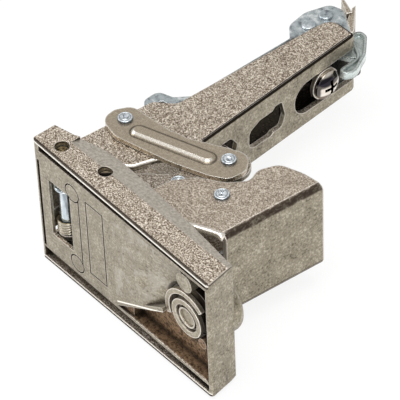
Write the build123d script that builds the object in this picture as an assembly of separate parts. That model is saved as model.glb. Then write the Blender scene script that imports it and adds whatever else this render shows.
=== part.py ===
from build123d import *
import math
import os

# Wide-angle cabinet hinge with a cast door block, shown closed.
# Millimetres. X runs along the door block, Y into the cabinet, Z along the hinge pins.
# The origin is the middle of the block's front face.

# Door block
block_length = 70.0
left_height = 42.9
right_height = 40.6
left_depth = 7.4
right_depth = 9.3
middle_depth = 12.6
end_lean = 1.6
strip_start = 7.1
strip_left = -27.4
strip_drop = 0.3
strip_turn = 1.15
rim_wall = 1.1
hollow_half = 14.8
hollow_right = 10.5
hollow_front = 1.0
core_right = 9.0
core_back = 9.0
face_top = 18.45
bottom_groove = 2.6
groove_depth = 4.0
side_groove = 1.0
line_width = 0.4
line_depth = 0.4

# Window over the door pin, in the face
window_x = -25.1
window_z = 0.7
window_width = 8.8
window_height = 19.8

# Panel frame, cast discs and the fixing pocket, on the face
panel_x = -10.4
panel_width = 7.2
panel_height = 26.0
panel_line_x = -17.0
ejector_radius = 2.9
ejector_x = -19.4
ejector_z = 12.8
pocket_floor = 3.6
pocket_wall = 0.9
void_floor = 7.4

# Fixing eccentric at the block's right end
fixing_x = 24.5
fixing_radius = 5.7
fixing_shaft = 3.3
fixing_front = 1.0
boss_radius = 9.2
boss_round = 2.2
boss_back = 13.4
ring_inner = 7.0
ring_outer = 8.5
ring_thickness = 1.2
ring_opening = 200.0
ring_gap_start = -155.0

# Pivots in plan
cross_arm_pivot = (-34.8, 13.1)
ribbed_arm_pivot = (-33.1, 28.7)
ribbed_lever_pivot = (-2.7, 38.7)
crossing = (-6.3, 24.6)
outer_pivot = (8.26, 27.1)
door_pivot = (-27.47, 3.86)
block_pivot = (-12.96, 6.49)

# Pins, rivets and running fits
pin_radius = 2.0
rivet_radius = 1.6
running = 0.05
open_play = 1.1
block_play = 0.5
head_radius = 2.1
head_height = 0.8
pin_inset = 1.6

# Sheets, as heights above the middle plane
arm_half = 10.0
sheet = 1.5
plate_gap = 0.2
cross_top = arm_half - sheet - plate_gap
cross_sheet = 1.4
inner_bottom = cross_top + 0.3
inner_top = inner_bottom + sheet
ribbed_bottom = inner_top + plate_gap
ribbed_sheet = 1.4
ribbed_top = ribbed_bottom + ribbed_sheet
rib_height = 0.9
outer_half = 14.45
outer_sheet = 1.5
outer_inside = outer_half - outer_sheet

# Levers
eye_small = 2.75
waist = 2.6
bush_radius = 2.2
eye_large = 5.8
ribbed_eye = 4.8

# Arm, from the fold line of its web
web_start = (-13.9, 40.0)
web_lean = 5.17
web_length = 56.7
arm_bend = 0.8
seam_inset = 0.95
ear_left = -37.4
ear_end_radius = 3.6
arm_open_edge = -30.4
arm_end = 97.8
slot_start = web_length - 22.7
slot_half = 5.2
screw_place = web_length - 10.8
screw_rise = 0.2
screw_radius = 4.4
screw_height = 2.6
screw_shank = 2.4

# Web and bend of the outer link
link_web_x = 18.68
link_lean = 4.64
link_bend = 2.1
link_front = 18.4
link_back = 49.0

# Carriage inside the arm
web_gap = sheet + 0.3
carriage_gap = 0.3
carriage_half = arm_half - sheet - carriage_gap
carriage_sheet = 1.4
carriage_web = 4.4
clip_rivets_y = (92.1, 98.4)
clip_rivet_x = -31.9
clip_rivet_radius = 1.5
release_pivot = (-27.4, 93.6)
release_pin_radius = 1.4
release_half = 4.0

# Place of the web's end for which the pieces at the clip end are drawn
drawn_end = (-19.0093007, 96.4693284)


def prism(sketch, bottom, top):
    """Straight solid from a plan outline, between two heights."""
    return Pos(0, 0, bottom) * extrude(sketch, top - bottom, dir=(0, 0, 1))


def disc(place, radius):
    return Pos(place[0], place[1]) * Circle(radius)


def outline(points, radii):
    return make_face(FilletPolyline(*points, radius=radii, close=True))


def lever(*discs):
    """Plate outline drawn tight round discs, each a place and a radius."""
    pairs = zip(discs[:-1], discs[1:])
    return Sketch() + [make_hull((disc(*a) + disc(*b)).edges()) for a, b in pairs]


def both_sides(upper):
    """A plate and its twin below the middle plane."""
    return upper + mirror(upper, Plane.XY)


def bore(place, radius, half=30.0):
    return prism(disc(place, radius), -half, half)


def edges_near(solid, height, places, reach):
    """Edges lying flat at a height whose middle is close to one of the plan places."""
    flat = [e for e in solid.edges() if abs(e.center().Z - height) < 0.01]
    return [e for e in flat if any(math.dist((e.center().X, e.center().Y), p) < reach for p in places)]


def web_point(along, inward=0.0):
    """Plan place at a distance along the arm's web and inside its outer face."""
    turn = math.radians(web_lean)
    x = web_start[0] - along * math.sin(turn) - inward * math.cos(turn)
    y = web_start[1] + along * math.cos(turn) - inward * math.sin(turn)
    return (x, y)


def web_plane():
    """Sketch plane on the web's outer face: X runs along the arm, Y up, out of the face."""
    turn = math.radians(web_lean)
    along = (-math.sin(turn), math.cos(turn), 0)
    normal = (math.cos(turn), math.sin(turn), 0)
    return Plane(origin=(web_start[0], web_start[1], 0), x_dir=along, z_dir=normal)


def at_clip(*points):
    """Plan places near the clip end, moved along with the end of the arm's web."""
    end = web_point(web_length)
    return [(x + end[0] - drawn_end[0], y + end[1] - drawn_end[1]) for x, y in points]


def clip_shift():
    """Move for a whole piece drawn at the clip end."""
    shift = at_clip((0, 0))[0]
    return Pos(shift[0], shift[1])


def clip_places():
    return at_clip(*[(clip_rivet_x, y) for y in clip_rivets_y])


def top_height(x):
    """Half height of the block, which tapers slightly to the right."""
    share = (x + block_length / 2) / block_length
    return (left_height + (right_height - left_height) * share) / 2


def block_plan():
    half = block_length / 2
    start = (-28.6, 8.9)
    corner = (half - end_lean, right_depth)
    front = Polyline(start, (-half, left_depth), (-half, 0), (half, 0), corner)
    back = Spline(corner, (13.0, 11.5), (-4.8, middle_depth), (-20.9, 12.0), start)
    return make_face(front.edges() + back.edges())


def block_body():
    """Tapered block with rounded ends and a low sloping strip along the back of each flat side."""
    half = block_length / 2
    body = prism(block_plan(), -30, 30)
    front_corners = body.edges().filter_by(Axis.Z).group_by(Axis.Y)[0]
    body = fillet(front_corners, 0.9)
    tops = [(-half - 1, top_height(-half - 1)), (half + 1, top_height(half + 1))]
    side = Polygon(*tops, *[(x, -z) for x, z in reversed(tops)], align=None)
    body &= Plane.XZ * extrude(side, 40, both=True)
    middle = top_height(0)
    reach = 10.0
    slope = [(strip_start, middle), (strip_start + reach, middle - reach * strip_drop)]
    wedge = Polygon(*slope, (strip_start + reach, middle + 5), (strip_start, middle + 5), align=None)
    cut = Pos(strip_left, 0, 0) * (Plane.YZ * extrude(wedge, block_length, dir=(0, 0, 1)))
    lean = math.degrees(math.atan((left_height - right_height) / 2 / block_length))
    return body - both_sides(Rot(0, lean, strip_turn) * cut)


def face_box(x_low, x_high, z_low, z_high, y_low, y_high):
    low = Vector(x_low, y_low, z_low)
    size = (x_high - x_low, y_high - y_low, z_high - z_low)
    return Pos(low.X, low.Y, low.Z) * Box(*size, align=(Align.MIN, Align.MIN, Align.MIN))


def on_face(sketch, y_low, y_high):
    """Solid from an outline drawn in X and Z on the block's front, between two depths."""
    return Plane.XZ.offset(-y_high) * extrude(sketch, y_high - y_low, dir=(0, 0, 1))


def face_frame():
    """Grooves round the face: under the top rim, over the bottom rim and beside the left end."""
    half = block_length / 2 - rim_wall
    low = -right_height / 2 + rim_wall
    upper = [(-half + 1.2, face_top), (half, face_top), (half, top_height(half) - rim_wall),
             (-half + 1.2, top_height(-half) - rim_wall)]
    lower = [(-half, low - 1.0), (half, low), (half, low + bottom_groove), (-half, low + bottom_groove)]
    left = [(-half, -16.0), (-half + side_groove, -16.0), (-half + side_groove, 15.0), (-half, 15.0)]
    past_pins = block_pivot[0] + pin_radius + 1.2
    cuts = on_face(Polygon(*upper, align=None), -1, 1.6)
    cuts += on_face(Polygon(*lower, align=None), -1, 1.6)
    cuts += face_box(past_pins, half, low, low + bottom_groove, -1, groove_depth)
    return cuts + on_face(Polygon(*left, align=None), -1, 0.6)


def rim_lines():
    """Fine cast line just under the edge of each flat side."""
    half = block_length / 2
    points = [(-half - 1, top_height(-half) - 0.3), (half + 1, top_height(half) - 0.3),
              (half + 1, top_height(half) - 0.6), (-half - 1, top_height(-half) - 0.6)]
    return both_sides(on_face(Polygon(*points, align=None), -1, 0.35))


def face_marks():
    """Cast panel frame, one line beside it and the round ejector marks."""
    outer = Rectangle(panel_width, panel_height)
    inner = Rectangle(panel_width - 2 * line_width, panel_height - 2 * line_width)
    marks = on_face(Pos(panel_x, 0.9) * (outer - inner), -1, line_depth)
    marks += on_face(Pos(panel_line_x, 0) * Rectangle(line_width, 24.0), -1, line_depth)
    for side in (1, -1):
        ring = Circle(ejector_radius) - Circle(ejector_radius - line_width)
        marks += on_face(Pos(ejector_x, side * ejector_z) * ring, -1, line_depth)
    return marks


def y_cylinder(radius, y_low, y_high):
    """Round solid along Y on the axis of the fixing disc."""
    return on_face(Pos(fixing_x, 0) * Circle(radius), y_low, y_high)


def fixing_recess():
    """Pocket round the fixing disc: funnel above the ridge, shallow corner below, deep end at the right."""
    inner_right = block_length / 2 - rim_wall
    low = -right_height / 2 + rim_wall + bottom_groove + pocket_wall
    rise = (-3.0 - low) / 20.0
    slope = (3.0, low + 6.0 * rise)
    tip = Polygon((-3.0, low), (3.0, low), slope, align=None)
    corner = Polygon((3.0, low), (inner_right, low), (inner_right, -2.0), (17.0, -3.0), slope, align=None)
    cuts = on_face(tip, -1, 0.8) + on_face(corner, -1, pocket_floor)
    cone = Cone(17.5, 8.0, 3.6, align=(Align.CENTER, Align.CENTER, Align.MIN))
    high = face_top - 0.8
    above = Polygon((-3.5, low + 1.2), (17.5, -1.2), (26, -1.2), (26, high), (-3.5, high), align=None)
    cuts += Pos(fixing_x, 0, 0) * Rot(-90, 0, 0) * cone & on_face(above, -5, 10)
    deep_right = inner_right - 1.4
    end = Polygon((21.5, 0), (deep_right, 0), (deep_right, high), (24.0, high), align=None)
    cuts += on_face(end, -1, void_floor)
    side = Polygon((29.5, low + 3.0), (deep_right, low + 3.0), (deep_right, 1), (29.5, 1), align=None)
    cuts += on_face(side, -1, void_floor)
    shoulder = Polygon((28, low), (inner_right, low), (inner_right, high), (24, high), align=None)
    cuts += on_face(shoulder, -1, 1.6)
    return cuts + y_cylinder(ring_outer + 0.35, -1, pocket_floor)


def door_block():
    half = block_length / 2
    block = block_body() - face_frame() - rim_lines()
    block -= hollow()
    window = RectangleRounded(window_width, window_height, 0.6)
    block -= on_face(Pos(window_x, window_z) * window, -1, hollow_front + 1)
    block -= fixing_recess()
    boss = y_cylinder(boss_radius, pocket_floor, boss_back)
    boss = fillet(boss.edges().group_by(Axis.Y)[-1], boss_round)
    block += boss & face_box(0, half - 0.3, -30, 30, 0, 30)
    block += on_face(Pos(fixing_x, ejector_z) * Circle(ejector_radius), 0.8, void_floor + 0.5)
    block += on_face(Pos(30.4, -4.8) * Circle(1.5), 1.2, void_floor + 0.5)
    block -= y_cylinder(fixing_shaft + running, 0, boss_back - 2.4)
    block -= y_cylinder(fixing_radius + 0.3, 0, pocket_floor + 0.4)
    block -= face_marks()
    for place in (door_pivot, block_pivot):
        block -= bore(place, pin_radius)
    return block


def hollow():
    """Room for the levers, open at the back, with slots for the inner lever in the left end."""
    half = block_length / 2
    back = middle_depth + 5
    room = Polyline((-half + 1.4, hollow_front), (hollow_right - 10, hollow_front), (hollow_right, back),
                    (-half + 1.4, back), (-half + 1.4, hollow_front))
    cut = prism(make_face(room), -hollow_half, hollow_half)
    left = Polygon((-half - 5, hollow_front), (0, hollow_front), (0, back), (-half - 5, back), align=None)
    cut += both_sides(prism(left, cross_top - cross_sheet - 0.4, hollow_half))
    return cut + face_box(-6, core_right, -3.5, hollow_half, 1.6, core_back)


def block_pin(place):
    """Plain pin through both walls of the block, a little below its faces."""
    half = top_height(place[0]) - pin_inset
    pin = bore(place, pin_radius, half)
    return chamfer(pin.edges().filter_by(GeomType.CIRCLE), 0.3)


def closing_spring():
    """Coil on the door pin, with its two legs lying in the block and on the inner lever."""
    wire = 0.55
    turns = 3
    radius = pin_radius + running + wire + 0.1
    pitch = 2 * wire + 0.12
    height = pitch * turns
    path = Helix(pitch, height, radius)
    bottom = -inner_bottom + wire + 0.25
    start = path @ 0
    ring = Plane(origin=start, z_dir=path % 0) * Circle(wire)
    coil = sweep(ring, path)
    return Pos(door_pivot[0], door_pivot[1], bottom) * coil


def fixing_disc():
    """Eccentric with a ringed head, a dished middle and a shaft in the block's boss."""
    front = fixing_front
    profile = Polyline(
        (0, front + 0.7), (2.5, front + 0.7), (2.7, front + 0.2), (3.1, front + 0.2), (3.3, front + 0.9),
        (3.8, front + 0.9), (4.1, front), (fixing_radius, front), (fixing_radius, front + 1.3),
        (fixing_shaft, front + 1.3), (fixing_shaft, boss_back - 3.0), (0, boss_back - 3.0),
        (0, front + 0.7),
    )
    turned = revolve(Plane.XY * make_face(profile), Axis.Y)
    return Pos(fixing_x, 0, 0) * turned


def fixing_ring():
    """Open spring ring round the eccentric's head."""
    ring = Circle(ring_outer) - Circle(ring_inner)
    turns = [math.radians(ring_gap_start + ring_opening * step / 4) for step in range(5)]
    reach = 2 * ring_outer
    gap = Polygon((0, 0), *[(reach * math.cos(a), reach * math.sin(a)) for a in turns], align=None)
    return on_face(Pos(fixing_x, 0) * (ring - gap), fixing_front + 0.2, fixing_front + 0.2 + ring_thickness)


def arm_plan():
    """Outline of the arm: wide ears at the front, a narrow channel behind."""
    far = web_point(web_length)
    near = web_point(-8.0)
    low = cross_arm_pivot[1] - ear_end_radius
    points = [
        (cross_arm_pivot[0] - ear_end_radius, low), (-37.0, 18.0), (-35.5, 39.6), (arm_open_edge, 44.2),
        *at_clip((-29.3, 90.0), (-28.6, arm_end), (drawn_end[0] - 0.6, arm_end)), far, near,
        (-17.2, 26.0), (-19.6, 18.4), (-28.0, 16.4), (cross_arm_pivot[0] + ear_end_radius, low),
    ]
    radii = [3.5, 8.0, 2.5, 2.5, 8.0, 4.0, 0.6, 0.3, 3.0, 4.0, 4.4, 2.0, 3.5]
    return outline(points, radii)


def web_hole(points, radii):
    """Cut through the arm's web, from an outline along the arm and up."""
    return web_plane() * Pos(0, 0, -4) * extrude(outline(points, radii), 8)


def hinge_arm():
    """Folded arm with wide ears, a slot and two openings in its web, and the two pivots in its ears."""
    arm = prism(arm_plan(), -arm_half, arm_half)
    bend = [(-18.4, 20.0), (-16.4, 24.0), (-15.5, 29.0), web_point(25)]
    rim = edges_near(arm, arm_half, bend, 3.2) + edges_near(arm, -arm_half, bend, 3.2)
    arm = fillet(rim, arm_bend)
    corner = web_point(-7.0, sheet)
    inside = web_point(web_length + 10, sheet)
    channel = Polyline((-60, 0), (corner[0], 0), corner, inside, (-60, inside[1]), (-60, 0))
    arm -= prism(make_face(channel), -arm_half + sheet, arm_half - sheet)
    clearance = Polygon((-60, 0), (0, 0), (0, 31.5), (-60, 31.5), align=None)
    arm -= prism(clearance, -arm_half + sheet, arm_half - sheet)
    past = slot_start + 46.0
    slot = [(slot_start, slot_half), (slot_start, -slot_half)]
    slot += [(past, -slot_half - 1.2), (past, slot_half + 0.6)]
    arm -= web_hole(slot, [slot_half - 0.1, slot_half - 0.1, 0, 0])
    stepped = [(16.2, -4.6), (16.4, 1.8), (20.5, 3.6), (25.4, 3.6), (26.4, 4.6)]
    stepped += [(29.0, 4.6), (30.2, -0.8), (28.8, -4.4), (25.6, -4.2), (24.6, -4.9)]
    arm -= web_hole(stepped, [2.6, 2.4, 1.2, 0.4, 0.5, 1.2, 1.6, 1.2, 0.4, 0.5])
    hook = [(5.2, 2.2), (5.8, 4.4), (9.6, 4.4), (11.8, 1.0)]
    hook += [(11.0, -1.8), (9.4, -1.4), (9.6, 0.6), (8.2, 2.2)]
    arm -= web_hole(hook, [0.5, 0.8, 1.8, 1.0, 0.4, 0.4, 0.5, 0.6])
    seam = Pos((web_length - 0.1) / 2, arm_half, -seam_inset) * Box(web_length + 0.3, 0.6, 0.3)
    arm -= both_sides(web_plane() * seam)
    return arm - bore(cross_arm_pivot, rivet_radius) - bore(ribbed_arm_pivot, rivet_radius)


def depth_screw():
    """Domed pan-head screw with a cross recess, its shank in the carriage."""
    top = screw_height
    dome = ThreePointArc((screw_radius, 0.9), (3.1, top - 0.75), (0, top))
    shank = [(0, top), (0, -7.0), (screw_shank, -7.0), (screw_shank, 0)]
    side = Polyline(*shank, (screw_radius, 0), (screw_radius, 0.9))
    turned = revolve(make_face(dome.edges() + side.edges()), Axis.Y)
    recess = Box(1.0, 4.0, 4.8) + Box(4.8, 4.0, 1.0)
    turned -= Pos(0, top, 0) * recess
    place = web_plane() * Pos(screw_place, screw_rise, 0.2) * Rot(90, 0, 0)
    return place * turned


def cam_washer():
    ring = Circle(screw_radius + 0.4) - Circle(screw_shank + running)
    return web_plane() * Pos(screw_place, screw_rise, -1.05) * extrude(ring, 1.2)


def carriage_plan():
    """Outline of the carriage's cheeks, with the front hook and the rounded clip end."""
    front = web_point(12.0, web_gap)
    back = web_point(web_length - 7.0, web_gap)
    points = [
        front, back, *at_clip((-21.5, 98.4), (-30.5, 103.6), (-34.6, 102.4)),
        *at_clip((-36.8, 95.0), (-35.6, 88.2), (-31.4, 84.8)), (-31.2, 50.0), (-34.4, 45.9), (-38.9, 44.4),
        (-38.6, 39.4), (-36.2, 37.5), (-35.4, 38.2), (-35.4, 43.2), (-32.6, 43.2), (-32.6, 39.6),
        (-27.0, 43.5),
    ]
    radii = [1.0, 1.0, 2.0, 3.0, 3.0, 6.0, 4.0, 1.0, 2.0, 2.0, 2.4, 2.4, 0.5, 0.4, 1.3, 1.3, 1.0, 3.0]
    return outline(points, radii)


def carriage():
    """Zinc channel that slides in the arm: two long cheeks joined by a deep web under the screw."""
    inside = carriage_half - carriage_sheet
    cheek = prism(carriage_plan(), inside, carriage_half)
    deep = carriage_web + carriage_sheet
    strip = [web_point(slot_start - 0.5, carriage_web), web_point(web_length - 6.2, carriage_web)]
    strip += [web_point(web_length - 6.2, deep), web_point(slot_start - 0.5, deep)]
    body = both_sides(cheek) + prism(Polygon(*strip, align=None), -carriage_half, carriage_half)
    for place in clip_places():
        body -= bore(place, clip_rivet_radius)
    body -= bore(at_clip(release_pivot)[0], release_pin_radius)
    return body - web_plane() * Pos(screw_place, screw_rise, 0) * Cylinder(screw_shank, 20)


def clip_cheeks():
    """Inner latch plates with a mouth for the mounting plate's rear pin."""
    top = carriage_half - carriage_sheet
    points = [(-36.0, 89.6), (-24.6, 89.6), (-24.6, 97.0), (-28.0, 101.6), (-33.6, 101.6)]
    points += [(-35.8, 96.6), (-33.2, 96.6), (-33.2, 93.8), (-36.4, 93.8)]
    radii = [2.0, 2.0, 2.0, 3.0, 2.0, 0.6, 1.3, 1.3, 0.6]
    cheeks = both_sides(prism(outline(at_clip(*points), radii), top - 1.3, top))
    for place in clip_places():
        cheeks -= bore(place, clip_rivet_radius)
    return cheeks - bore(at_clip(release_pivot)[0], release_pin_radius)


def clip_rivets():
    """Staked rivets through the carriage's cheeks and the latch plates."""
    bottom = carriage_half - carriage_sheet - 1.3
    rivets = []
    for place in clip_places():
        shank = prism(disc(place, clip_rivet_radius), bottom, carriage_half)
        head = prism(disc(place, clip_rivet_radius + 0.45), carriage_half, carriage_half + 0.7)
        rim = head.edges().filter_by_position(Axis.Z, carriage_half + 0.6, carriage_half + 0.8)
        head = fillet(rim, 0.3)
        rivets.append(shank + head)
    return Compound(children=rivets + [mirror(r, Plane.XY) for r in rivets])


def catch():
    """Folded nickel catch at the carriage's end: a flat top, a wall below it and a horned leg."""
    tip = (-29.6, 107.4)
    bend = (-27.9, 103.4)
    root = (-21.6, 99.2)
    top = outline([tip, root, (-24.6, 98.9), bend], [0.4, 0.5, 0.3, 0.3])
    piece = prism(top, carriage_half - 1.2, carriage_half)
    wall = Polygon(tip, root, (root[0] - 0.9, root[1] - 0.5), (tip[0] + 0.2, tip[1] - 1.6), align=None)
    piece += prism(wall, -carriage_half, carriage_half)
    foot = (bend[0] - 0.4, bend[1] - 0.6)
    leg = Polygon((-33.6, 105.6), (-32.9, 106.2), (-27.6, 104.3), foot, align=None)
    piece += prism(leg, 2.0, carriage_half + 0.6)
    piece -= face_box(-40, 0, -6.2, 4.9, 90, 104.5)
    return clip_shift() * piece - carriage() - clip_cheeks()


def release_lever():
    """Finger lever: hub on its pin, stem past the slot's open end and a thin dished lobe."""
    points = [(-25.0, 100.6), (-24.8, 104.6), (-21.6, 104.4), (-16.4, 99.2)]
    points += [(-13.0, 92.6), (-14.0, 89.2), (-16.4, 89.4), (-17.0, 96.8)]
    lobe = outline(points, [1.0, 1.6, 2.4, 6.0, 3.0, 1.6, 0.8, 3.0])
    body = prism(lobe, release_half - 2.4, release_half)
    body += prism(lever((release_pivot, 2.7), ((-19.4, 97.4), 2.0)), -3.4, 3.4)
    dish = offset(lobe, -0.9)
    body -= prism(dish, release_half - 1.0, release_half + 1)
    return clip_shift() * (body - bore(release_pivot, release_pin_radius + running))


def release_pin():
    return clip_shift() * bore(release_pivot, release_pin_radius, carriage_half)


def release_spring():
    """Small coil on the release pin, between the lever's hub and the lower cheek."""
    wire = 0.3
    path = Helix(0.7, 0.7, release_pin_radius + 0.5)
    ring = Plane(origin=path @ 0, z_dir=path % 0) * Circle(wire)
    return clip_shift() * Pos(release_pivot[0], release_pivot[1], 3.85) * sweep(ring, path)


def rivet_head(place, bottom, height):
    """Flat head with a rounded rim and a small staked dimple."""
    head = prism(disc(place, head_radius), bottom, bottom + height)
    top = bottom + height
    head = fillet(head.edges().filter_by_position(Axis.Z, top - 0.05, top + 0.05), 0.3)
    return head - Pos(place[0], place[1], bottom + height + 0.45) * Sphere(0.75)


def through_rivet(place, half, height=head_height):
    """Rivet through the whole hinge, with a staked head on each side."""
    return bore(place, rivet_radius, half) + both_sides(rivet_head(place, half, height))


def stub_rivets(place, inner, outer, height=head_height):
    """Pair of short rivets, one on each side of the open middle."""
    one = prism(disc(place, rivet_radius), inner, outer) + rivet_head(place, outer, height)
    return Compound(children=[one, mirror(one, Plane.XY)])


def bushes(place, radius, bottom, top):
    """Pair of spacer rings on a rivet, one on each side."""
    ring = disc(place, radius) - disc(place, rivet_radius)
    one = prism(ring, bottom, top)
    return Compound(children=[one, mirror(one, Plane.XY)])


def link_plane():
    """Sketch plane square to the outer link's web, with its origin on the web's outer face."""
    turn = math.radians(link_lean)
    along = (math.sin(turn), math.cos(turn), 0)
    across = (math.cos(turn), -math.sin(turn), 0)
    return Plane(origin=(link_web_x, 0, 0), x_dir=across, z_dir=along)


def link_channel(inset, radius):
    """Long channel block with rounded right corners, inset from the link's outer faces."""
    half = outer_half - inset
    points = [(-60, -half), (-inset, -half), (-inset, half), (-60, half)]
    return link_plane() * extrude(outline(points, [0, radius, radius, 0]), 70, both=True)


def outer_link():
    """Deep U-shaped link: cam-shaped flanges, flat web and large bend."""
    eye = (block_pivot[0] - eye_small, block_pivot[1])
    points = [
        (eye[0], eye[1] - eye_small), (-6.0, 4.6), (8.0, 13.4), (15.0, 16.8), (19.0, link_front),
        (26.0, link_front), (26.0, link_back + 0.4), (16.0, 48.0), (9.4, 45.6), (7.2, 40.0), (9.0, 36.0),
        (5.0, 30.6), (-1.0, 27.0), (-4.8, 21.0), (-5.6, 14.4), (-10.4, eye[1] + eye_small),
        (eye[0], eye[1] + eye_small),
    ]
    radii = [2.5, 5.0, 6.0, 8.0, 3.0, 0, 0, 8.0, 4.0, 4.0, 3.0, 8.0, 5.0, 4.0, 5.0, 1.0, 2.5]
    link = prism(outline(points, radii), -outer_half, outer_half) & link_channel(0, link_bend)
    everywhere = Box(200, 200, 60)
    link -= everywhere & link_channel(outer_sheet, link_bend - outer_sheet)
    link -= bore(outer_pivot, rivet_radius + running)
    return link - bore(block_pivot, pin_radius + block_play)


def inner_lever():
    """Pair of plates from the door pin past the crossing to the ribbed links."""
    middle = ((door_pivot[0] + crossing[0]) / 2, (door_pivot[1] + crossing[1]) / 2)
    plan = lever((door_pivot, eye_small), (middle, waist), (crossing, 3.4), (ribbed_lever_pivot, eye_large))
    plan -= disc(ribbed_lever_pivot, rivet_radius + open_play)
    lever_pair = both_sides(prism(plan, inner_bottom, inner_top))
    bridge = lever(((-19.6, 8.9), 0.7), ((-16.2, 12.1), 0.7))
    lever_pair += prism(bridge, -inner_top, inner_top)
    lever_pair -= bore(door_pivot, pin_radius + running)
    lever_pair -= bore(crossing, rivet_radius + running)
    return lever_pair


def cross_lever():
    """Pair of plates from the arm's ears through the crossing to the outer link."""
    plan = lever((cross_arm_pivot, eye_small), (crossing, 3.6), (outer_pivot, 3.6))
    pair = both_sides(prism(plan, cross_top - cross_sheet, cross_top))
    bridge = lever(((-28.0, 18.9), 0.7), ((-15.5, 24.2), 0.7))
    pair += prism(bridge, -cross_top, cross_top)
    pair -= bore(cross_arm_pivot, rivet_radius + running)
    pair -= bore(crossing, rivet_radius)
    pair -= bore(outer_pivot, rivet_radius)
    return pair


def ribbed_plan():
    a = ribbed_arm_pivot
    b = ribbed_lever_pivot
    points = [
        (a[0] - 4.8, a[1] + 0.2), (a[0] - 2.6, a[1] + 4.6), (-22.0, 34.6), (-17.9, 36.0), (-16.8, 36.0),
        (b[0] - 4.0, b[1] + 2.8), (b[0] + 2.0, b[1] + 5.4), (b[0] + 6.0, b[1] + 1.0),
        (b[0] + 5.4, b[1] - 4.6), (b[0] + 0.6, b[1] - 7.6), (-13.0, 26.9), (-30.0, 22.6),
        (a[0] - 4.2, a[1] - 4.6),
    ]
    radii = [3.0, 3.4, 6.0, 0.3, 0.3, 6.0, 3.8, 3.6, 3.8, 7.0, 30.0, 6.0, 4.0]
    return outline(points, radii)


def ribbed_link():
    """Upper link of the pair, with its long pressed rib."""
    a = Vector(*ribbed_arm_pivot)
    b = Vector(*ribbed_lever_pivot)
    along = (b - a).normalized()
    lean = math.degrees(math.atan2(along.Y, along.X)) + 1.0
    plate = prism(ribbed_plan(), ribbed_bottom, ribbed_top)
    middle = a + (b - a) * 0.51 + Vector(0.6, -2.1)
    foot = Pos(middle.X, middle.Y, ribbed_top) * Rot(0, 0, lean) * SlotOverall(25.6, 4.6)
    crest = Pos(middle.X, middle.Y, ribbed_top + rib_height) * Rot(0, 0, lean) * SlotOverall(23.6, 2.4)
    under = Pos(middle.X, middle.Y, ribbed_bottom) * Rot(0, 0, lean) * SlotOverall(22.8, 1.8)
    plate += loft([foot.face(), crest.face()])
    plate -= extrude(under, ribbed_sheet * 0.75)
    plate -= bore(ribbed_arm_pivot, rivet_radius + running)
    plate -= bore(ribbed_lever_pivot, rivet_radius)
    return plate


def save(name, shape):
    export_step(shape, f"parts/{name}.step")


os.makedirs("parts", exist_ok=True)
save("door_block", door_block())
save("door_pin", block_pin(door_pivot))
save("link_pin", block_pin(block_pivot))
save("closing_spring", closing_spring())
save("fixing_disc", fixing_disc())
save("fixing_ring", fixing_ring())
save("hinge_arm", hinge_arm())
save("depth_screw", depth_screw())
save("cam_washer", cam_washer())
save("outer_link", outer_link())
save("inner_lever", inner_lever())
save("cross_lever", cross_lever())
upper_link = ribbed_link()
save("ribbed_link_upper", upper_link)
save("ribbed_link_lower", mirror(upper_link, Plane.XY))
save("arm_rivet", through_rivet(ribbed_arm_pivot, ribbed_top + running))
save("link_rivets", stub_rivets(ribbed_lever_pivot, inner_bottom, ribbed_top))
save("cross_rivet", through_rivet(crossing, inner_top + running))
save("outer_rivets", stub_rivets(outer_pivot, cross_top - cross_sheet, outer_half + running, 0.7))
save("outer_bushes", bushes(outer_pivot, bush_radius, cross_top, outer_inside - running))
save("lever_rivet", bore(cross_arm_pivot, rivet_radius, arm_half))
save("carriage", carriage())
save("clip_cheeks", clip_cheeks())
save("clip_rivets", clip_rivets())
save("catch", catch())
save("release_lever", release_lever())
save("release_pin", release_pin())
save("release_spring", release_spring())
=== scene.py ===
import bmesh
import bpy
import math
from mathutils import Matrix, Vector


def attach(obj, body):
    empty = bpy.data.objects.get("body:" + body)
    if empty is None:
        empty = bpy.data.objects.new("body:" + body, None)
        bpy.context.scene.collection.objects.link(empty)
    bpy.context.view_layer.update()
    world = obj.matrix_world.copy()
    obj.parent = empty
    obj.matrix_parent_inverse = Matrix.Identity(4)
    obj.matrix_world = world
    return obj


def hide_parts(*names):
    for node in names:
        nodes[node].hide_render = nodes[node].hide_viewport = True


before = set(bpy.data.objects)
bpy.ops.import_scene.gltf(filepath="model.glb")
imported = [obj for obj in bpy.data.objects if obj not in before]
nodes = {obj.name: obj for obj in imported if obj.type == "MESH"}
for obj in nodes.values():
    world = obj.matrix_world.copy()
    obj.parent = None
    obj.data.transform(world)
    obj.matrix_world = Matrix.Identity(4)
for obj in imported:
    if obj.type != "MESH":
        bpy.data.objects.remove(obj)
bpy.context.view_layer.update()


class Value:
    # a socket that takes part in Python expressions; each operator adds one Math node
    def __init__(self, look, socket):
        self.look, self.socket = look, socket

    def math(self, operation, other=None, flip=False, clamp=False):
        node = self.look.tree.nodes.new("ShaderNodeMath")
        node.operation, node.use_clamp = operation, clamp
        pair = [other, self] if flip else [self, other]
        for slot, item in zip(node.inputs, pair):
            if item is not None:
                self.look.feed(slot, item)
        return Value(self.look, node.outputs[0])

    def __add__(self, other): return self.math("ADD", other)
    def __radd__(self, other): return self.math("ADD", other)
    def __sub__(self, other): return self.math("SUBTRACT", other)
    def __rsub__(self, other): return self.math("SUBTRACT", other, flip=True)
    def __mul__(self, other): return self.math("MULTIPLY", other)
    def __rmul__(self, other): return self.math("MULTIPLY", other)
    def __truediv__(self, other): return self.math("DIVIDE", other)
    def __rtruediv__(self, other): return self.math("DIVIDE", other, flip=True)
    def __pow__(self, other): return self.math("POWER", other)
    def __abs__(self): return self.math("ABSOLUTE")
    def held(self): return self.math("ADD", 0.0, clamp=True)


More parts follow.
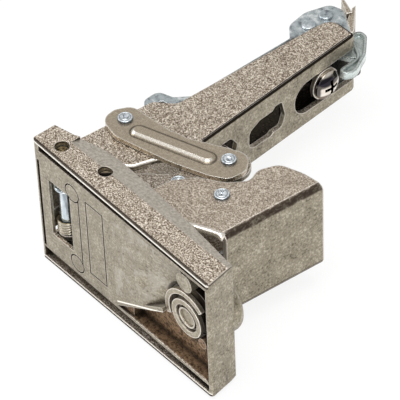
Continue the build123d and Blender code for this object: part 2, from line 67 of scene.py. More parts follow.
class Look:
    # one material and the nodes that feed its Principled shader
    def __init__(self, name):
        self.material = bpy.data.materials.new(name)
        self.material.use_nodes = True
        self.tree = self.material.node_tree
        self.shader = self.tree.nodes["Principled BSDF"]

    def feed(self, slot, item):
        if isinstance(item, Value):
            self.tree.links.new(item.socket, slot)
        else:
            slot.default_value = item

    def node(self, kind, settings=None, inputs=None, out=0):
        node = self.tree.nodes.new(kind)
        for key, setting in (settings or {}).items():
            setattr(node, key, setting)
        for key, item in (inputs or {}).items():
            self.feed(node.inputs[key], item)
        return Value(self, node.outputs[out])

    def split(self, vector):
        parts = self.tree.nodes.new("ShaderNodeSeparateXYZ")
        self.feed(parts.inputs[0], vector)
        return [Value(self, output) for output in parts.outputs]

    def place(self):
        return self.node("ShaderNodeTexCoord", out="Object")

    def facing(self):
        return self.split(self.node("ShaderNodeTexCoord", out="Normal"))

    def spread(self, value, low, high, toLow=0.0, toHigh=1.0):
        # a soft step from toLow to toHigh; low may lie above high
        return self.node("ShaderNodeMapRange", {"interpolation_type": "SMOOTHSTEP"}, {
            "Value": value, "From Min": low, "From Max": high, "To Min": toLow, "To Max": toHigh})

    def crevice(self, distance, low=0.35, high=0.95, alone=True):
        # 1 deep in grooves and inner corners, 0 on open faces; alone leaves other pieces out
        share = self.node("ShaderNodeAmbientOcclusion", {"only_local": alone, "samples": 8},
                          {"Distance": distance}, out="AO")
        return self.spread(share, low, high, 1.0, 0.0)

    def rim(self, distance, low=0.55, high=0.95):
        # 1 along outer edges, where the metal behind the face is thin
        share = self.node("ShaderNodeAmbientOcclusion", {"only_local": True, "inside": True, "samples": 12},
                          {"Distance": distance}, out="AO")
        return self.spread(share, low, high, 1.0, 0.0)

    def rounded(self, radius):
        return self.node("ShaderNodeBevel", {"samples": 12}, {"Radius": radius})

    def noise(self, scale, detail=2.0, rough=0.5, warp=0.0, stretch=None):
        place = self.place()
        if stretch:
            place = self.node("ShaderNodeMapping", inputs={"Vector": place, "Scale": stretch})
        return self.node("ShaderNodeTexNoise", inputs={
            "Vector": place, "Scale": scale, "Detail": detail, "Roughness": rough, "Distortion": warp})

    def blend(self, share, first, second):
        node = self.tree.nodes.new("ShaderNodeMix")
        node.data_type = "RGBA"
        self.feed(node.inputs[0], share)
        for slot, item in ((6, first), (7, second)):
            self.feed(node.inputs[slot], item if isinstance(item, Value) else (*item, 1.0))
        return Value(self, node.outputs[2])

    def bump(self, height, distance, strength, over):
        return self.node("ShaderNodeBump", inputs={
            "Height": height, "Distance": distance, "Strength": strength, "Normal": over})

    def finish(self, **sockets):
        names = {"colour": "Base Color", "rough": "Roughness", "metal": "Metallic", "normal": "Normal"}
        for key, item in sockets.items():
            plain = key == "colour" and not isinstance(item, Value)
            self.feed(self.shader.inputs[names[key]], (*item, 1.0) if plain else item)
        return self.material


def scaled(colour, factor):
    return tuple(part * factor for part in colour)


def middle(piece):
    return [(min(side) + max(side)) / 2 for side in zip(*piece.bound_box)]


# satin nickel plate on pressed steel: speckled on the broad faces, finely mottled on the webs, painted shade in the
# corners, painted highlights on the edges
plate = {
    "speckDark": (0.13, 0.090, 0.062), "speckMid": (0.47, 0.395, 0.315), "speckLight": (0.98, 0.90, 0.79),
    "speckMean": (0.50, 0.425, 0.345), "grain": 0.00034,
    "webDark": (0.090, 0.076, 0.050), "web": (0.252, 0.221, 0.166), "webLight": (0.44, 0.40, 0.32),
    "satinDark": (0.37, 0.315, 0.24), "satinLight": (0.47, 0.405, 0.315),
    "corner": (0.035, 0.024, 0.015), "bendDark": (0.055, 0.040, 0.030), "edge": (0.97, 0.93, 0.86),
    "edgeRound": 0.00035, "bumpDepth": 0.00009, "metal": 0.82,
}


def speckle(look, tint=1.0, grain=plate["grain"]):
    # three tones of grain, the lightest and darkest only in small spots
    fine = look.noise(1 / grain, 2.0, 0.55)
    broad = look.noise(1 / (grain * 4.5), 2.0, 0.5)
    tone = fine + (broad - 0.5) * 0.14
    dark = look.blend(look.spread(tone, 0.36, 0.48), scaled(plate["speckDark"], tint), scaled(plate["speckMid"], tint))
    return look.blend(look.spread(tone, 0.51, 0.65), dark, scaled(plate["speckLight"], tint)), fine


def mottle(look, tint=1.0):
    fine = look.noise(1500.0, 3.0, 0.65)
    cloud = look.noise(260.0, 3.0, 0.55)
    tone = fine * 0.68 + cloud * 0.32
    dark = look.blend(look.spread(tone, 0.34, 0.47), scaled(plate["webDark"], tint), scaled(plate["web"], tint))
    return look.blend(look.spread(tone, 0.49, 0.64), dark, scaled(plate["webLight"], tint)), fine


def platedSteel(name, tint=1.0, grit=1.0, satin=0.0, gloss=0.0, deep=0.0022, cling=(0.30, 0.92), shade=0.0,
                rounding=plate["edgeRound"], edgeShare=0.75, marks=None):
    # grit is the speckle's contrast and satin smooths it; deep, cling and shade set the painted shade in corners;
    # marks paints a piece's own lines of shade and highlight and says where the painted edge highlight is left out
    look = Look(name)
    spot = look.split(look.place())
    side = look.facing()
    top = look.spread(abs(side[2]), 0.80, 0.97)
    spots, fine = speckle(look, tint)
    web, soft = mottle(look, tint)
    if grit < 1:
        spots = look.blend(1 - grit, spots, scaled(plate["speckMean"], tint))
    if satin:
        smooth = look.blend(look.spread(soft, 0.3, 0.7), scaled(plate["satinDark"], tint),
                            scaled(plate["satinLight"], tint))
        spots = look.blend(satin, spots, smooth)
        web = look.blend(satin, web, smooth)
    colour, calm = look.blend(top, web, spots), 0.0
    if marks:
        colour, calm = marks(look, colour, spot, side)
    # painted shade: corners darkened by ambient occlusion, and deeper in by shade
    corner = look.crevice(deep, *cling)
    if shade:
        corner = (corner + look.crevice(0.012, 0.15, 0.80) * shade).held()
    # painted highlight: bright colour along the outer edges
    edge = look.rim(0.00045, 0.50, 0.93)
    colour = look.blend(corner, colour, plate["corner"])
    colour = look.blend(edge * (1 - corner) * (1 - calm) * edgeShare, colour, plate["edge"])
    height = (fine * (top * grit * (1 - satin) + 0.15) + soft * 0.2) * (1 - satin)
    normal = look.bump(height, plate["bumpDepth"], 0.7, over=look.rounded(rounding))
    rough = look.spread(fine, 0.3, 0.7, 0.28 - gloss, 0.44 - gloss)
    return look.finish(colour=colour, rough=rough + corner * 0.25, metal=plate["metal"], normal=normal)


armMarks = {"bendShadeHeight": 0.0098, "bendShadeStart": (0.0390, 0.0395), "bendShadeLeft": (-0.0265, -0.0255), "bendShadeHalf": 0.00034,
            "rolledEnd": (0.029, 0.026), "rolledShare": 0.85}


def armLines(look, colour, spot, side):
    # painted shade: a dark line along the arm's two long bends; painted highlight: the bright rolled fronts of its
    # ears
    x, y, z = spot
    up = abs(side[2])
    # painted shade line along the bend
    line = look.spread(abs(abs(z) - armMarks["bendShadeHeight"]), armMarks["bendShadeHalf"], armMarks["bendShadeHalf"] - 0.00016)
    line = line * look.spread(up, 0.9995, 0.99) * look.spread(y, *armMarks["bendShadeStart"])
    line = line * look.spread(x, *armMarks["bendShadeLeft"])
    colour = look.blend(line, colour, scaled(plate["corner"], 0.5))
    # painted highlight on the rolled ear fronts
    rolled = look.spread(up, 0.10, 0.35) * look.spread(up, 0.995, 0.93) * look.spread(y, *armMarks["rolledEnd"])
    return look.blend(rolled * armMarks["rolledShare"], colour, plate["edge"]), line


linkMarks = {"bandFrom": (0.12, 0.40), "bandTo": (0.992, 0.94), "bandStreaks": (0.88, 0.42), "shineAt": 0.985,
             "shineShare": 0.5, "hemAt": 0.09, "hemShare": 0.9, "cutFront": 0.0184, "cutShare": 0.9}


def linkLines(look, colour, spot, side):
    # painted shade: the outer link's dark band round the large bend and a thin dark line at its foot; painted
    # highlights: a bright line over the band and its bright cut front
    up = abs(side[2])
    streak = look.noise(1300.0, 3.0, 0.6, stretch=(1.0, 0.5, 0.6))
    band = look.spread(up, *linkMarks["bandFrom"]) * look.spread(up, *linkMarks["bandTo"])
    colour = look.blend(band * look.spread(streak, *linkMarks["bandStreaks"]), colour, plate["bendDark"])
    shine = look.spread(abs(up - linkMarks["shineAt"]), 0.012, 0.004)
    colour = look.blend(shine * linkMarks["shineShare"], colour, plate["edge"])
    hem = look.spread(abs(side[2] + linkMarks["hemAt"]), 0.06, 0.03)
    colour = look.blend(hem * linkMarks["hemShare"], colour, plate["corner"])
    cut = look.spread(side[1], -0.35, -0.7)
    cut = cut * look.spread(spot[1], linkMarks["cutFront"] + 0.0015, linkMarks["cutFront"] + 0.0008)
    return look.blend(cut * linkMarks["cutShare"], colour, plate["edge"]), 0.0


ribMarks = {"start": (-0.02691, 0.02825), "end": (-0.00708, 0.03515), "foot": 0.00235, "footShare": 0.65,
            "crest": 0.00150, "crestShare": 0.75}


def ribLines(look, colour, spot, side):
    # painted shade: the ribbed link's dark foot line round the rib; painted highlight: the light along one side of the
    # rib's crest
    x, y, z = spot
    (ax, ay), (bx, by) = ribMarks["start"], ribMarks["end"]
    length = math.hypot(bx - ax, by - ay)
    ux, uy = (bx - ax) / length, (by - ay) / length
    along = (((x - ax) * ux + (y - ay) * uy) / length).held() * length
    away = ((x - ax - along * ux) ** 2 + (y - ay - along * uy) ** 2) ** 0.5
    across = (y - ay) * ux - (x - ax) * uy
    foot = look.spread(abs(away - ribMarks["foot"]), 0.00040, 0.00012)
    crest = look.spread(abs(away - ribMarks["crest"]), 0.00050, 0.00015) * look.spread(across, 0.0002, -0.0006)
    colour = look.blend(foot * ribMarks["footShare"], colour, plate["corner"])
    return look.blend(crest * ribMarks["crestShare"], colour, plate["edge"]), 0.0


# die-cast door block: the same plate on a cast skin, with a rough brown corner pocket darkened as painted shade and a
# painted highlight on the ridge
casting = {
    "grain": 0.00038, "stripDark": (0.40, 0.365, 0.31), "stripLight": (0.66, 0.61, 0.54), "worn": (0.44, 0.42, 0.37),
    "pocketDark": (0.055, 0.032, 0.018), "pocketLight": (0.30, 0.20, 0.12),
    "rimDark": (0.045, 0.030, 0.022), "rimLight": (0.30, 0.235, 0.18),
    "ridgeStart": (-0.0030, -0.0142), "ridgeEnd": (0.0195, -0.0018), "ridgeWidth": 0.00032,
    "disc": 0.0245, "discReach": 0.0100, "voidFrom": 0.0262, "grooveTop": 0.0183, "grooveBottom": -0.0164,
    "flankSlope": -0.01643, "flankHeight": 0.020875, "underShadeLine": 0.00055,
    "brightLine": 0.00072, "edgeLine": 0.00005, "grooveLine": 0.00145, "metal": 0.8,
}


def castPlate(name):
    look = Look(name)
    x, y, z = look.split(look.place())
    side = look.facing()
    up = abs(side[2])
    top = look.spread(up, 0.985, 0.9985)
    spots, fine = speckle(look, 0.97, casting["grain"])
    web, soft = mottle(look)
    strip = look.blend(look.spread(soft, 0.3, 0.7), casting["stripDark"], casting["stripLight"])
    colour = look.blend(look.spread(up, 0.6, 0.9), web, strip)
    colour = look.blend(top, colour, spots)

    # brown pocket under the ridge, darkened as painted shade in the recess; pale scuffs over it
    (x0, z0), (x1, z1) = casting["ridgeStart"], casting["ridgeEnd"]
    long = math.hypot(x1 - x0, z1 - z0)
    beside = ((z - z0) * (x1 - x0) - (x - x0) * (z1 - z0)) / long  # signed distance from the ridge, plus above
    inFront = look.spread(y, 0.0062, 0.0058)
    right = look.spread(x, x0 - 0.0002, x0 + 0.0003)
    pocket = look.spread(beside, 0.0001, -0.0003) * right * look.spread(y, 0.0002, 0.0006) * inFront
    pocket = pocket * look.spread(z, -0.0166, -0.0162) * look.spread(x, 0.0338, 0.0334)
    brownNoise = look.noise(1300.0, 4.0, 0.7)
    brown = look.blend(look.spread(brownNoise, 0.36, 0.62), casting["pocketDark"], casting["pocketLight"])
    colour = look.blend(pocket, colour, brown)
    scuff = look.noise(150.0, 5.0, 0.72, warp=0.6)
    plain = look.spread(beside, 0.0012, 0.0030) * right * inFront * look.spread(z, 0.0178, 0.0172)
    plain = plain * look.spread(x, 0.0190, 0.0150) * look.spread(scuff, 0.47, 0.60)
    colour = look.blend(plain * 0.5, colour, casting["worn"])
    lowRim = look.spread(z, -0.01935, -0.01945) * look.spread(y, 0.0004, 0.0002)
    rimTone = look.blend(look.spread(brownNoise, 0.36, 0.60), casting["rimDark"], casting["rimLight"])
    colour = look.blend(lowRim, colour, rimTone)

    # painted shade inside the front grooves, the hole beside the disc and the disc's own pit, and a painted shade line
    # under the flat sides' edge
    inside = look.spread(abs(x), 0.0339, 0.0337) * look.spread(z, -0.0193, -0.0191) * look.spread(z, 0.0196, 0.0194)
    hole = look.spread(x, casting["voidFrom"], casting["voidFrom"] + 0.0006) * look.spread(y, 0.0034, 0.0042)
    hole = hole * inFront * inside
    upper, lower = casting["grooveTop"], casting["grooveBottom"]
    grooves = look.spread(z, upper, upper + 0.0002) * look.spread(z, 0.0198, 0.0196)
    grooves = grooves + look.spread(z, lower, lower - 0.0002) * look.spread(z, -0.0195, -0.0193)
    grooves = grooves * look.spread(y, 0.0003, 0.0009) * inFront * look.spread(abs(x), 0.0341, 0.0339)
    left = look.spread(x, -0.0329, -0.0331) * look.spread(x, -0.0341, -0.0339) * look.spread(abs(z), 0.0164, 0.0160)
    grooves = grooves + left * look.spread(y, 0.00015, 0.0004) * look.spread(y, 0.0012, 0.0010)
    under = (x * casting["flankSlope"] + casting["flankHeight"]) - abs(z)  # distance below the tapered sides' edge
    cast = look.spread(abs(under - casting["underShadeLine"]), 0.00034, 0.00016) * look.spread(up, 0.6, 0.4)
    cast = cast * (look.spread(y, 0.0005, 0.0003) + look.spread(side[0], 0.4, 0.7)).held()
    cast = cast * look.spread(z, 0.0, 0.001)
    pit = ((x - casting["disc"]) ** 2 + z ** 2) ** 0.5
    pit = look.spread(pit, casting["discReach"], casting["discReach"] - 0.0006) * look.spread(y, 0.0012, 0.0026)
    pit = pit * inFront * inside
    colour = look.blend((hole + grooves * 0.85 + cast * 0.85 + pit * 0.85).held(), colour, plate["corner"])

    # painted shade in the corners, painted highlights on the edges and along the ridge
    ridge = look.spread(abs(beside), casting["ridgeWidth"], casting["ridgeWidth"] * 0.4) * right
    ridge = ridge * look.spread(x, x1, x1 - 0.001) * look.spread(y, 0.0030, 0.0022)
    corner = look.crevice(0.0026, 0.35, 0.95)
    edge = look.rim(0.00032, 0.50, 0.93)
    colour = look.blend(corner, colour, plate["corner"])
    colour = look.blend((edge * (1 - corner) * 0.3 + ridge).held(), colour, plate["edge"])

    # fine painted lines along the front's upper rim: shade on the edge, a highlight, shade over the groove
    front = look.spread(y, 0.0007, 0.0005) * look.spread(abs(x), 0.0348, 0.0346)
    grooved = look.spread(x, -0.0326, -0.0320) * look.spread(z, 0.0, 0.001)
    shine = look.spread(abs(under - casting["brightLine"]), 0.00042, 0.00022) * front
    colour = look.blend(shine * 0.8, colour, plate["edge"])
    drawn = look.spread(abs(under - casting["edgeLine"]), 0.00048, 0.00034)
    drawn = drawn + look.spread(abs(under - casting["grooveLine"]), 0.00046, 0.00032) * grooved
    colour = look.blend((drawn * front * 0.92).held(), colour, plate["corner"])

    height = fine * (top + 0.2) + soft * 0.3 + brownNoise * pocket * 1.6 + plain * 0.8
    normal = look.bump(height, 0.00010, 0.7, over=look.rounded(0.0003))
    rough = look.spread(fine, 0.3, 0.7, 0.30, 0.46) + corner * 0.2 + pocket * 0.2
    return look.finish(colour=colour, rough=rough, metal=casting["metal"], normal=normal)


# zinc tones: the corner, rivet-rim and in-arm colours are painted shade, edge is a painted highlight
zinc = {
    "dark": (0.22, 0.25, 0.28), "mid": (0.52, 0.585, 0.63), "light": (0.86, 0.92, 0.97), "edge": (0.95, 0.97, 1.0),
    "stainAndShade": (0.05, 0.042, 0.034), "joint": (0.085, 0.095, 0.11), "hiddenDark": (0.010, 0.008, 0.006),
    "hiddenLight": (0.055, 0.043, 0.028), "satinDark": (0.38, 0.43, 0.42), "satinLight": (0.62, 0.68, 0.665),
    "satinStem": (0.05, 0.05, 0.045), "head": 0.0021,
}
golden = {"dark": (0.10, 0.07, 0.035), "light": (0.55, 0.45, 0.27), "far": (0.50, 0.44, 0.33),
          "near": (0.012, 0.010, 0.008)}


def goldenEnd(look, colour, centre=None):
    # the staked end of a pin, seen in its hole; with a centre its near half lies in the dark
    stainAndShade = look.noise(1400.0, 3.0, 0.65)
    ends = look.spread(abs(look.facing()[2]), 0.8, 0.95)
    staked = look.blend(look.spread(stainAndShade, 0.38, 0.60), golden["dark"], golden["light"])
    if centre:
        x, y, z = look.split(look.place())
        near = (x - centre[0]) * 0.785 - (y - centre[1]) * 0.62
        staked = look.blend(look.spread(near, -0.0014, -0.0008), golden["far"], golden["near"])
    return look.blend(ends, colour, staked), stainAndShade * ends


def brightZinc(name, tint=1.0, warm=(1.0, 1.0, 1.0), stretch=None, rough=(0.22, 0.38), deep=0.003, alone=True,
               cover=None, ends=False):
    # bluish zinc plate with soft dark and light patches; cover gives where the arm hides it, painted dark there as
    # shade, ends stakes a pin's ends
    look = Look(name)
    dark, mid, light = ([a * b * tint for a, b in zip(zinc[key], warm)] for key in ("dark", "mid", "light"))
    cloud = look.noise(520.0, 3.0, 0.6, stretch=stretch)
    fine = look.noise(1900.0, 2.0, 0.6)
    colour = look.blend(look.spread(cloud, 0.30, 0.50), dark, mid)
    colour = look.blend(look.spread(cloud, 0.50, 0.70), colour, light)
    if ends:
        colour, raised = goldenEnd(look, colour)
        fine = fine + raised * 3.0
    if cover:
        x, y, z = look.split(look.place())
        inArm = look.spread(x, cover[0], cover[0] + 0.001) * look.spread(y, cover[1], cover[1] - 0.001)
        colour = look.blend(inArm, colour, look.blend(look.spread(fine, 0.35, 0.65), zinc["hiddenDark"],
                                                      zinc["hiddenLight"]))
    # painted shade in corners and a painted highlight along the outer edges
    corner = look.crevice(deep, 0.25, 0.92, alone)
    edge = look.rim(0.0004, 0.5, 0.93)
    colour = look.blend(corner * 0.95, colour, zinc["stainAndShade"])
    colour = look.blend(edge * (1 - corner) * 0.6, colour, zinc["edge"])
    return look.finish(colour=colour, rough=look.spread(fine, 0.3, 0.7, *rough), metal=0.88,
                       normal=look.bump(fine, 0.00004, 0.5, over=look.rounded(0.0003)))


def satinZinc(name):
    # greenish satin zinc of the release lever, with a darker raised rim; its stem lies in the dark
    look = Look(name)
    x, y, z = look.split(look.place())
    cloud = look.noise(330.0, 2.0, 0.5)
    fine = look.noise(1500.0, 2.0, 0.5)
    tone = look.spread(cloud * 0.7 + fine * 0.3, 0.36, 0.62)
    colour = look.blend(tone, zinc["satinDark"], zinc["satinLight"])
    colour = look.blend(look.rim(0.0006, 0.55, 0.93) * 0.5, colour, scaled(zinc["satinDark"], 0.55))
    colour = look.blend(look.spread(z, 0.0018, 0.0013), colour, zinc["satinStem"])
    return look.finish(colour=colour, rough=look.spread(fine, 0.3, 0.7, 0.26, 0.36), metal=0.75,
                       normal=look.bump(fine, 0.00003, 0.5, over=look.rounded(0.0006)))


def stakedZinc(name, centre):
    # rivet head: pressed ring and punched middle darkened as painted shade, and a painted shadow round the rim
    look = Look(name)
    head = zinc["head"]
    x, y, z = look.split(look.place())
    away = ((x - centre[0]) ** 2 + (y - centre[1]) ** 2) ** 0.5
    cloud = look.noise(1500.0, 3.0, 0.6)
    colour = look.blend(look.spread(cloud, 0.36, 0.60), zinc["mid"], zinc["light"])
    ring = look.spread(abs(away - head * 0.70), 0.00022, 0.00005)
    punch = look.spread(cloud, 0.52, 0.44) * look.spread(away, head * 0.58, head * 0.35)
    joint = look.spread(away, head * 0.90, head * 0.99)
    colour = look.blend((ring * 0.55 + punch * 0.75 + joint * 0.9).held(), colour, zinc["joint"])
    height = (1 - ring) * 0.6 + cloud * look.spread(away, head * 0.6, head * 0.4)
    return look.finish(colour=colour, rough=look.spread(cloud, 0.3, 0.7, 0.22, 0.36), metal=0.85,
                       normal=look.bump(height, 0.00012, 0.8, over=look.rounded(0.00025)))


screwHead = {"nickelDark": (0.70, 0.63, 0.54), "nickelLight": (0.84, 0.79, 0.73), "recess": (0.10, 0.062, 0.035),
             "band": (0.040, 0.034, 0.034), "patch": (0.022, 0.020, 0.028), "low": (0.13, 0.080, 0.046),
             "patchPlace": (-0.0012, 0.0024), "patchSize": (0.0027, 0.0011)}


def mirrorNickel(name, centre):
    # bright nickel of the pan head: dark reflections round its upper side and a brown one along the lower edge
    look = Look(name)
    x, y, z = look.split(look.place())
    side = look.facing()
    cloud = look.noise(300.0, 2.0)
    colour = look.blend(look.spread(cloud, 0.3, 0.7), screwHead["nickelDark"], screwHead["nickelLight"])
    # painted shade in the cross recess
    colour = look.blend(look.crevice(0.0025, 0.2, 0.85), colour, screwHead["recess"])
    band = look.spread(side[2], 0.62, 0.52) * look.spread(side[2], 0.08, 0.2) + look.spread(side[1], -0.42, -0.52)
    colour = look.blend(band.held() * 0.9, colour, screwHead["band"])
    (moveY, moveZ), (halfY, halfZ) = screwHead["patchPlace"], screwHead["patchSize"]
    patch = (((y - centre[1] - moveY) / halfY) ** 2 + ((z - centre[2] - moveZ) / halfZ) ** 2) ** 0.5
    colour = look.blend(look.spread(patch, 1.1, 0.85) * 0.95, colour, screwHead["patch"])
    low = look.spread(side[2], -0.22, -0.36) * look.spread(cloud, 0.42, 0.52, 0.45, 1.0)
    colour = look.blend(low, colour, screwHead["low"])
    return look.finish(colour=colour, rough=look.spread(cloud, 0.3, 0.7, 0.06, 0.11), metal=1.0,
                       normal=look.rounded(0.0002))


def highlightNickel(name, tone=(0.90, 0.84, 0.74)):
    # plate on rolled edges, painted evenly bright as a highlight
    look = Look(name)
    cloud = look.noise(240.0, 2.0)
    colour = look.blend(look.spread(cloud, 0.3, 0.7), scaled(tone, 0.84), tone)
    return look.finish(colour=colour, rough=look.spread(cloud, 0.3, 0.7, 0.24, 0.32), metal=0.9)


def groundSteel(name, tone=(0.52, 0.46, 0.36), centre=None):
    look = Look(name)
    turned = look.noise(300.0, 3.0, 0.6, stretch=(1, 1, 6))
    colour = look.blend(look.spread(turned, 0.3, 0.7), scaled(tone, 0.7), tone)
    colour, raised = goldenEnd(look, colour, centre)
    return look.finish(colour=colour, rough=look.spread(turned, 0.3, 0.7, 0.22, 0.36), metal=0.9,
                       normal=look.bump(raised, 0.00015, 0.8, over=look.rounded(0.0002)))


print("finishes")
rivetPlaces = {"arm_rivet": (-0.0331, 0.0287), "link_rivets": (-0.0027, 0.0387), "cross_rivet": (-0.0063, 0.0246),
               "outer_rivets": (0.00826, 0.0271)}
linkPinPlace = (-0.01296, 0.00649)
finishOf = {
    "door_block": castPlate("castPlate"),
    "hinge_arm": platedSteel("armPlate", deep=0.0016, shade=0.7, edgeShare=0.5, marks=armLines),
    "outer_link": platedSteel("linkPlate", grit=0.65, rounding=0.0006, marks=linkLines),
    # inner and cross levers tinted darker: painted shade between the parts
    "inner_lever": platedSteel("leverPlate", tint=0.72),
    "cross_lever": platedSteel("crossPlate", tint=0.62),
    "ribbed_link_upper": platedSteel("ribbedPlate", tint=1.12, satin=0.92, gloss=0.1, deep=0.0012,
                                     cling=(0.50, 0.992), rounding=0.00015, marks=ribLines),
    "catch": platedSteel("catchPlate", satin=0.4),
    "cam_washer": platedSteel("washerPlate", tint=0.7, satin=0.8),
    "fixing_disc": platedSteel("fixingPlate", tint=0.98, deep=0.0016, satin=0.3),
    "depth_screw": mirrorNickel("screwNickel", middle(nodes["depth_screw"])),
    # the carriage is painted dark as shade where the arm covers it
    "carriage": brightZinc("carriageZinc", 1.1, (1.0, 0.99, 0.96), rough=(0.15, 0.28), deep=0.006, alone=False,
                           cover=(-0.0315, 0.0865)),
    # clip cheeks tinted darker: painted shade inside the arm
    "clip_cheeks": brightZinc("cheekZinc", 0.60, (1.0, 0.98, 0.90), alone=False),
    "clip_rivets": brightZinc("clipRivetZinc"),
    "release_lever": satinZinc("leverZinc"),
    "door_pin": brightZinc("pinZinc", stretch=(1, 1, 0.2), rough=(0.10, 0.18), ends=True),
    "link_pin": groundSteel("pinSteel", centre=linkPinPlace),
    "lever_rivet": groundSteel("rivetSteel"),
    "closing_spring": groundSteel("springSteel", (0.42, 0.38, 0.31)),
}
finishOf.update({name: stakedZinc(name + "Zinc", centre) for name, centre in rivetPlaces.items()})
sameAs = {
    "ribbed_link_lower": "ribbed_link_upper", "outer_bushes": "lever_rivet", "release_pin": "lever_rivet",
    "release_spring": "closing_spring", "fixing_ring": "fixing_disc",
}
for name, piece in nodes.items():
    material = finishOf[sameAs.get(name, name)]
    for slot in piece.material_slots:
        slot.material = material


def placeShape(name, shape, body, material):
    mesh = bpy.data.meshes.new(name)
    bmesh.ops.recalc_face_normals(shape, faces=shape.faces)
    shape.to_mesh(mesh)
    shape.free()
    for face in mesh.polygons:
        face.use_smooth = True
    mesh.materials.append(material)
    piece = bpy.data.objects.new(name, mesh)
    bpy.context.scene.collection.objects.link(piece)
    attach(piece, body)
    return piece


def closeEnds(shape):
    bmesh.ops.holes_fill(shape, edges=[edge for edge in shape.edges if edge.is_boundary], sides=0)


# closing spring: a close coil at the pin's lower end, and its upper hook
spring = {"centre": (-0.02747, 0.00386), "wire": 0.00040, "coil": 0.00260, "pitch": 0.00086, "turns": 5,
          "start": 200.0, "bottom": -0.00812, "tone": (0.50, 0.46, 0.38),
          "hookWire": 0.00052, "hookHeight": 0.00745, "hookStart": 130.0, "hookTurn": 230.0}


def wireArc(wire, height, start, turn, rise=0.0, perTurn=40):
    # a round wire bent about the pin, its two ends closed
    shape = bmesh.new()
    ring = bmesh.ops.create_circle(shape, cap_ends=False, radius=wire, segments=12)["verts"]
    bmesh.ops.rotate(shape, verts=ring, cent=(0, 0, 0), matrix=Matrix.Rotation(math.radians(90), 3, "X"))
    bmesh.ops.translate(shape, verts=ring, vec=(spring["coil"], 0, 0))
    bmesh.ops.rotate(shape, verts=ring, cent=(0, 0, 0), matrix=Matrix.Rotation(math.radians(start), 3, "Z"))
    bmesh.ops.translate(shape, verts=ring, vec=(*spring["centre"], height))
    bmesh.ops.spin(shape, geom=list(shape.edges), cent=(*spring["centre"], height), axis=(0, 0, 1),
                   dvec=(0, 0, rise / perTurn), angle=math.radians(turn), steps=round(perTurn * turn / 360))
    closeEnds(shape)
    return shape


print("spring")
coil = placeShape("springCoil", wireArc(spring["wire"], spring["bottom"], spring["start"], 360.0 * spring["turns"],
                                        spring["pitch"]),
                  "door_block", groundSteel("coilSteel", spring["tone"]))
hook = placeShape("springHook", wireArc(spring["hookWire"], spring["hookHeight"], spring["hookStart"],
                                        spring["hookTurn"]),
                  "door_block", brightZinc("hookZinc", 1.15, rough=(0.14, 0.24)))
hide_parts("closing_spring")
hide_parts("closing_spring")


def barShape(bar):
    # a round bar laid along a path, one on each side of the middle plane
    shape = bmesh.new()
    path = bar["path"]
    for side in (1, -1):
        rings = []
        for i, (x, y) in enumerate(path):
            before, after = path[max(i - 1, 0)], path[min(i + 1, len(path) - 1)]
            heading = math.atan2(after[1] - before[1], after[0] - before[0])
            ring = bmesh.ops.create_circle(shape, cap_ends=False, radius=bar["radius"], segments=16)["verts"]
            turn = Matrix.Rotation(heading, 3, "Z") @ Matrix.Rotation(math.radians(90), 3, "Y")
            bmesh.ops.rotate(shape, verts=ring, cent=(0, 0, 0), matrix=turn)
            bmesh.ops.translate(shape, verts=ring, vec=(x, y, side * bar["height"]))
            rings.append([edge for edge in shape.edges if edge.verts[0] in ring and edge.verts[1] in ring])
        for first, second in zip(rings[:-1], rings[1:]):
            bmesh.ops.bridge_loops(shape, edges=first + second)
    closeEnds(shape)
    return shape


print("rolled edges")
# rolled nose of the cross lever's plates, over the crossing, painted bright as a highlight
nose = {"path": ((-0.0206, 0.0192), (-0.0186, 0.0209), (-0.0168, 0.0227), (-0.0152, 0.0237), (-0.0137, 0.0235),
                 (-0.0130, 0.0219)), "height": 0.00752, "radius": 0.00075}
placeShape("crossNose", barShape(nose), "cross_lever", highlightNickel("noseNickel"))

# rounded front edge of the outer link's flanges, along the cut edge of its sheet, painted bright as a highlight
lip = {"path": ((0.0088, 0.01360), (0.0122, 0.01515), (0.0156, 0.01680), (0.0180, 0.01775), (0.0196, 0.01811)),
       "height": 0.01368, "radius": 0.00105, "tone": (0.95, 0.90, 0.82)}
placeShape("linkLip", barShape(lip), "outer_link", highlightNickel("lipNickel", lip["tone"]))

# low ribs in the block beside the window, clear of the inner lever's plates; dark, they fill the see-through with
# painted shade
ribs = {"round": 0.0001, "boxes": (
    ((-0.0307, -0.0301), (0.0010, 0.0028), (-0.0147, -0.01038)),
    ((-0.0307, -0.0301), (0.0010, 0.0028), (0.01038, 0.0147)),
    ((-0.0313, -0.0305), (0.0008, 0.0050), (-0.0083, -0.0020)))}


def ribShape():
    shape = bmesh.new()
    for sides in ribs["boxes"]:
        box = bmesh.ops.create_cube(shape, size=1.0)["verts"]
        bmesh.ops.scale(shape, verts=box, vec=[high - low for low, high in sides])
        bmesh.ops.translate(shape, verts=box, vec=[(low + high) / 2 for low, high in sides])
    bmesh.ops.bevel(shape, geom=list(shape.edges), offset=ribs["round"], offset_type="OFFSET", affect="EDGES",
                    segments=2, profile=0.5, material=-1)
    return shape


# the ribs' darker tint is painted shade
placeShape("slotRibs", ribShape(), "door_block", platedSteel("shadeWallPlate", tint=0.6))


camera = {"azimuth": 51.7274, "elevation": 44.0, "roll": -2.5291, "distance": 0.7672088,
          "right": 0.0200215, "up": 0.0175436, "lens": 270.0}


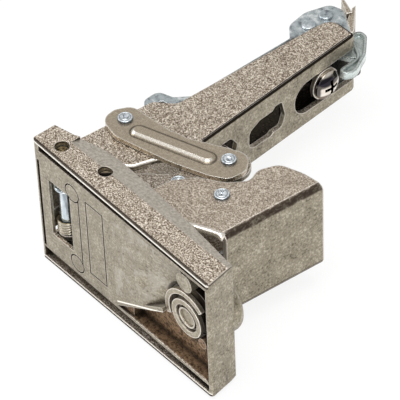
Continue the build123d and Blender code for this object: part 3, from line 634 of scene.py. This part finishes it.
def makeCamera():
    azimuth, elevation, roll = (math.radians(camera[key]) for key in ("azimuth", "elevation", "roll"))
    level = math.cos(elevation)
    back = Vector((math.sin(azimuth) * level, -math.cos(azimuth) * level, math.sin(elevation)))
    right = Vector((math.cos(azimuth), math.sin(azimuth), 0))
    up = back.cross(right)
    rolledRight = right * math.cos(roll) + up * math.sin(roll)
    rolledUp = up * math.cos(roll) - right * math.sin(roll)
    data = bpy.data.cameras.new("camera")
    data.lens, data.sensor_width, data.clip_start, data.clip_end = camera["lens"], 36.0, 0.05, 20.0
    thing = bpy.data.objects.new("camera", data)
    bpy.context.scene.collection.objects.link(thing)
    spot = rolledRight * camera["right"] + rolledUp * camera["up"] + back * camera["distance"]
    turn = Matrix((rolledRight, rolledUp, back)).transposed().to_4x4()
    thing.matrix_world = Matrix.Translation(spot) @ turn
    bpy.context.scene.camera = thing


stage = {"floor": -0.0216, "size": 6.0, "floorColour": (0.93, 0.93, 0.93), "floorGlow": 0.85,
         "world": (1.0, 0.985, 0.96), "worldStrength": 0.55}


def makeFloor():
    mesh = bpy.data.meshes.new("floor")
    shape = bmesh.new()
    bmesh.ops.create_grid(shape, x_segments=2, y_segments=2, size=stage["size"] / 2)
    bmesh.ops.translate(shape, verts=shape.verts, vec=(0, 0, stage["floor"]))
    shape.to_mesh(mesh)
    shape.free()
    floor = bpy.data.objects.new("floor", mesh)
    bpy.context.scene.collection.objects.link(floor)
    look = Look("floorPaper")
    look.finish(colour=stage["floorColour"], rough=0.9)
    seen = look.node("ShaderNodeLightPath", out="Is Camera Ray") * stage["floorGlow"]
    paper = Value(look, look.shader.outputs[0])
    mix = look.node("ShaderNodeMixShader", inputs={0: seen, 1: paper, 2: look.node("ShaderNodeEmission")})
    look.feed(look.tree.nodes["Material Output"].inputs["Surface"], mix)
    mesh.materials.append(look.material)


def makeWorld():
    # soft warm light all round, seen as plain white by the camera
    world = bpy.data.worlds.new("studio")
    bpy.context.scene.world = world
    world.use_nodes = True
    tree = world.node_tree
    background = tree.nodes["Background"]
    background.inputs[0].default_value = (*stage["world"], 1.0)
    background.inputs[1].default_value = stage["worldStrength"]
    white = tree.nodes.new("ShaderNodeBackground")
    white.inputs[0].default_value = (1, 1, 1, 1)
    path = tree.nodes.new("ShaderNodeLightPath")
    mix = tree.nodes.new("ShaderNodeMixShader")
    tree.links.new(path.outputs["Is Camera Ray"], mix.inputs[0])
    tree.links.new(background.outputs[0], mix.inputs[1])
    tree.links.new(white.outputs[0], mix.inputs[2])
    tree.links.new(mix.outputs[0], tree.nodes["World Output"].inputs["Surface"])


lamps = {
    "skyLamp": {"spot": (0.1, -0.1, 0.9), "size": 0.7, "power": 7.0},
    "sideLamp": {"spot": (0.9, -0.5, 0.35), "size": 0.5, "power": 4.0},
    "leftLamp": {"spot": (-0.7, -0.6, 0.5), "size": 0.5, "power": 2.5},
}
lampAim = Vector((0, 0.04, 0))


def makeLamp(name, spot, size, power):
    data = bpy.data.lights.new(name, "AREA")
    data.size, data.energy = size, power
    lamp = bpy.data.objects.new(name, data)
    bpy.context.scene.collection.objects.link(lamp)
    lamp.location = spot
    lamp.rotation_euler = (lampAim - Vector(spot)).to_track_quat("-Z", "Y").to_euler()


print("stage")
makeCamera()
makeFloor()
makeWorld()
for name, lamp in lamps.items():
    makeLamp(name, **lamp)
bpy.context.scene.view_settings.view_transform = "Standard"
